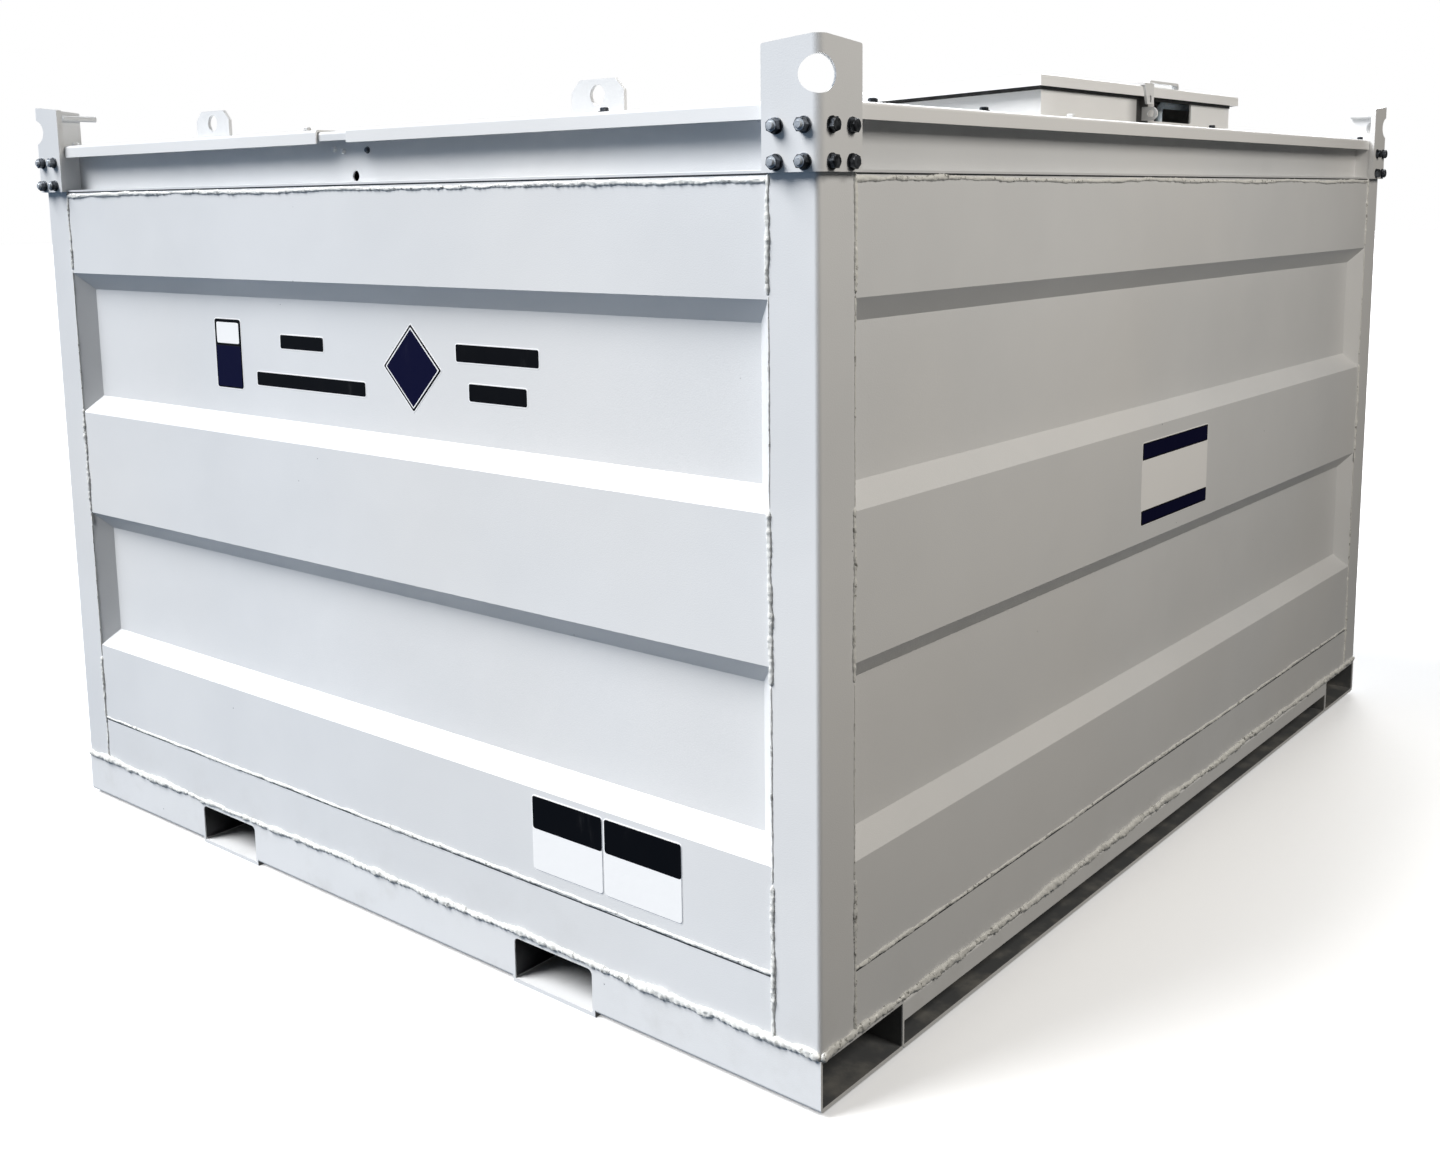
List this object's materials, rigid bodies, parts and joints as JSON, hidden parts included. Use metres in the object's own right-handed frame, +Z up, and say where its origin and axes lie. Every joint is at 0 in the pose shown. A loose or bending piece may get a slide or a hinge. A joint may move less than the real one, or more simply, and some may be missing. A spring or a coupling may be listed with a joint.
{
  "type": "bunded diesel fuel tank",
  "caption": "Rectangular double-walled steel fuel tank with pressed side walls, fork pockets, bolted corner lifting brackets, lifting lugs and a hinged fill hatch on its roof.",
  "frame": {"origin": "on the ground under the middle of the tank, at the lowest faces of the fork pockets", "axes": "+X across the front towards the hatch side, +Y from the front to the back, +Z up"},
  "size_m": [2.224, 2.648, 1.6598],
  "materials": {
    "white_paint": "semi-gloss white paint over welded steel sheet",
    "bare_steel": "dull zinc-plated steel",
    "bolt_steel": "dull zinc-plated fasteners",
    "panel_film": "blank printed film",
    "seal_rubber": "black rubber edging"
  },
  "bodies": {
    "tank": {"front_base_beam": "white_paint", "back_base_beam": "white_paint", "right_base_channel": "white_paint", "left_base_channel": "white_paint", "right_fork_pocket": "white_paint", "left_fork_pocket": "white_paint", "floor_pan": "white_paint", "post_front_right": "white_paint", "post_back_right": "white_paint", "post_back_left": "white_paint", "post_front_left": "white_paint", "front_lower_strip": "white_paint", "right_lower_strip": "white_paint", "back_lower_strip": "white_paint", "left_lower_strip": "white_paint", "front_wall": "white_paint", "right_wall": "white_paint", "back_wall": "white_paint", "left_wall": "white_paint", "front_rail": "white_paint", "right_rail": "white_paint", "back_rail": "white_paint", "left_rail": "white_paint", "roof_plate": "white_paint", "front_caps": "white_paint", "right_cap": "white_paint", "back_caps": "white_paint", "left_cap": "white_paint", "bracket_front_right": "white_paint", "bracket_back_right": "white_paint", "bracket_back_left": "white_paint", "bracket_front_left": "white_paint", "front_lugs": "white_paint", "back_lugs": "white_paint", "lashing_bars": "white_paint", "hatch_box": "white_paint", "box_hinges": "white_paint", "staple": "white_paint", "delivery_pipe": "bare_steel", "fill_cap": "bare_steel", "dip_cap": "bare_steel"},
    "lid": {"hatch_lid": "white_paint", "lid_hinges": "white_paint", "lock_strap": "white_paint", "lid_handle": "white_paint"}
  },
  "joints": [
    {"name": "hatch_hinge", "type": "hinge", "parent": "tank", "child": "lid", "pos_m": [0.40665, 0, 1.61775], "axis": [0, -1, 0], "range_deg": [0, 100]}
  ]
}
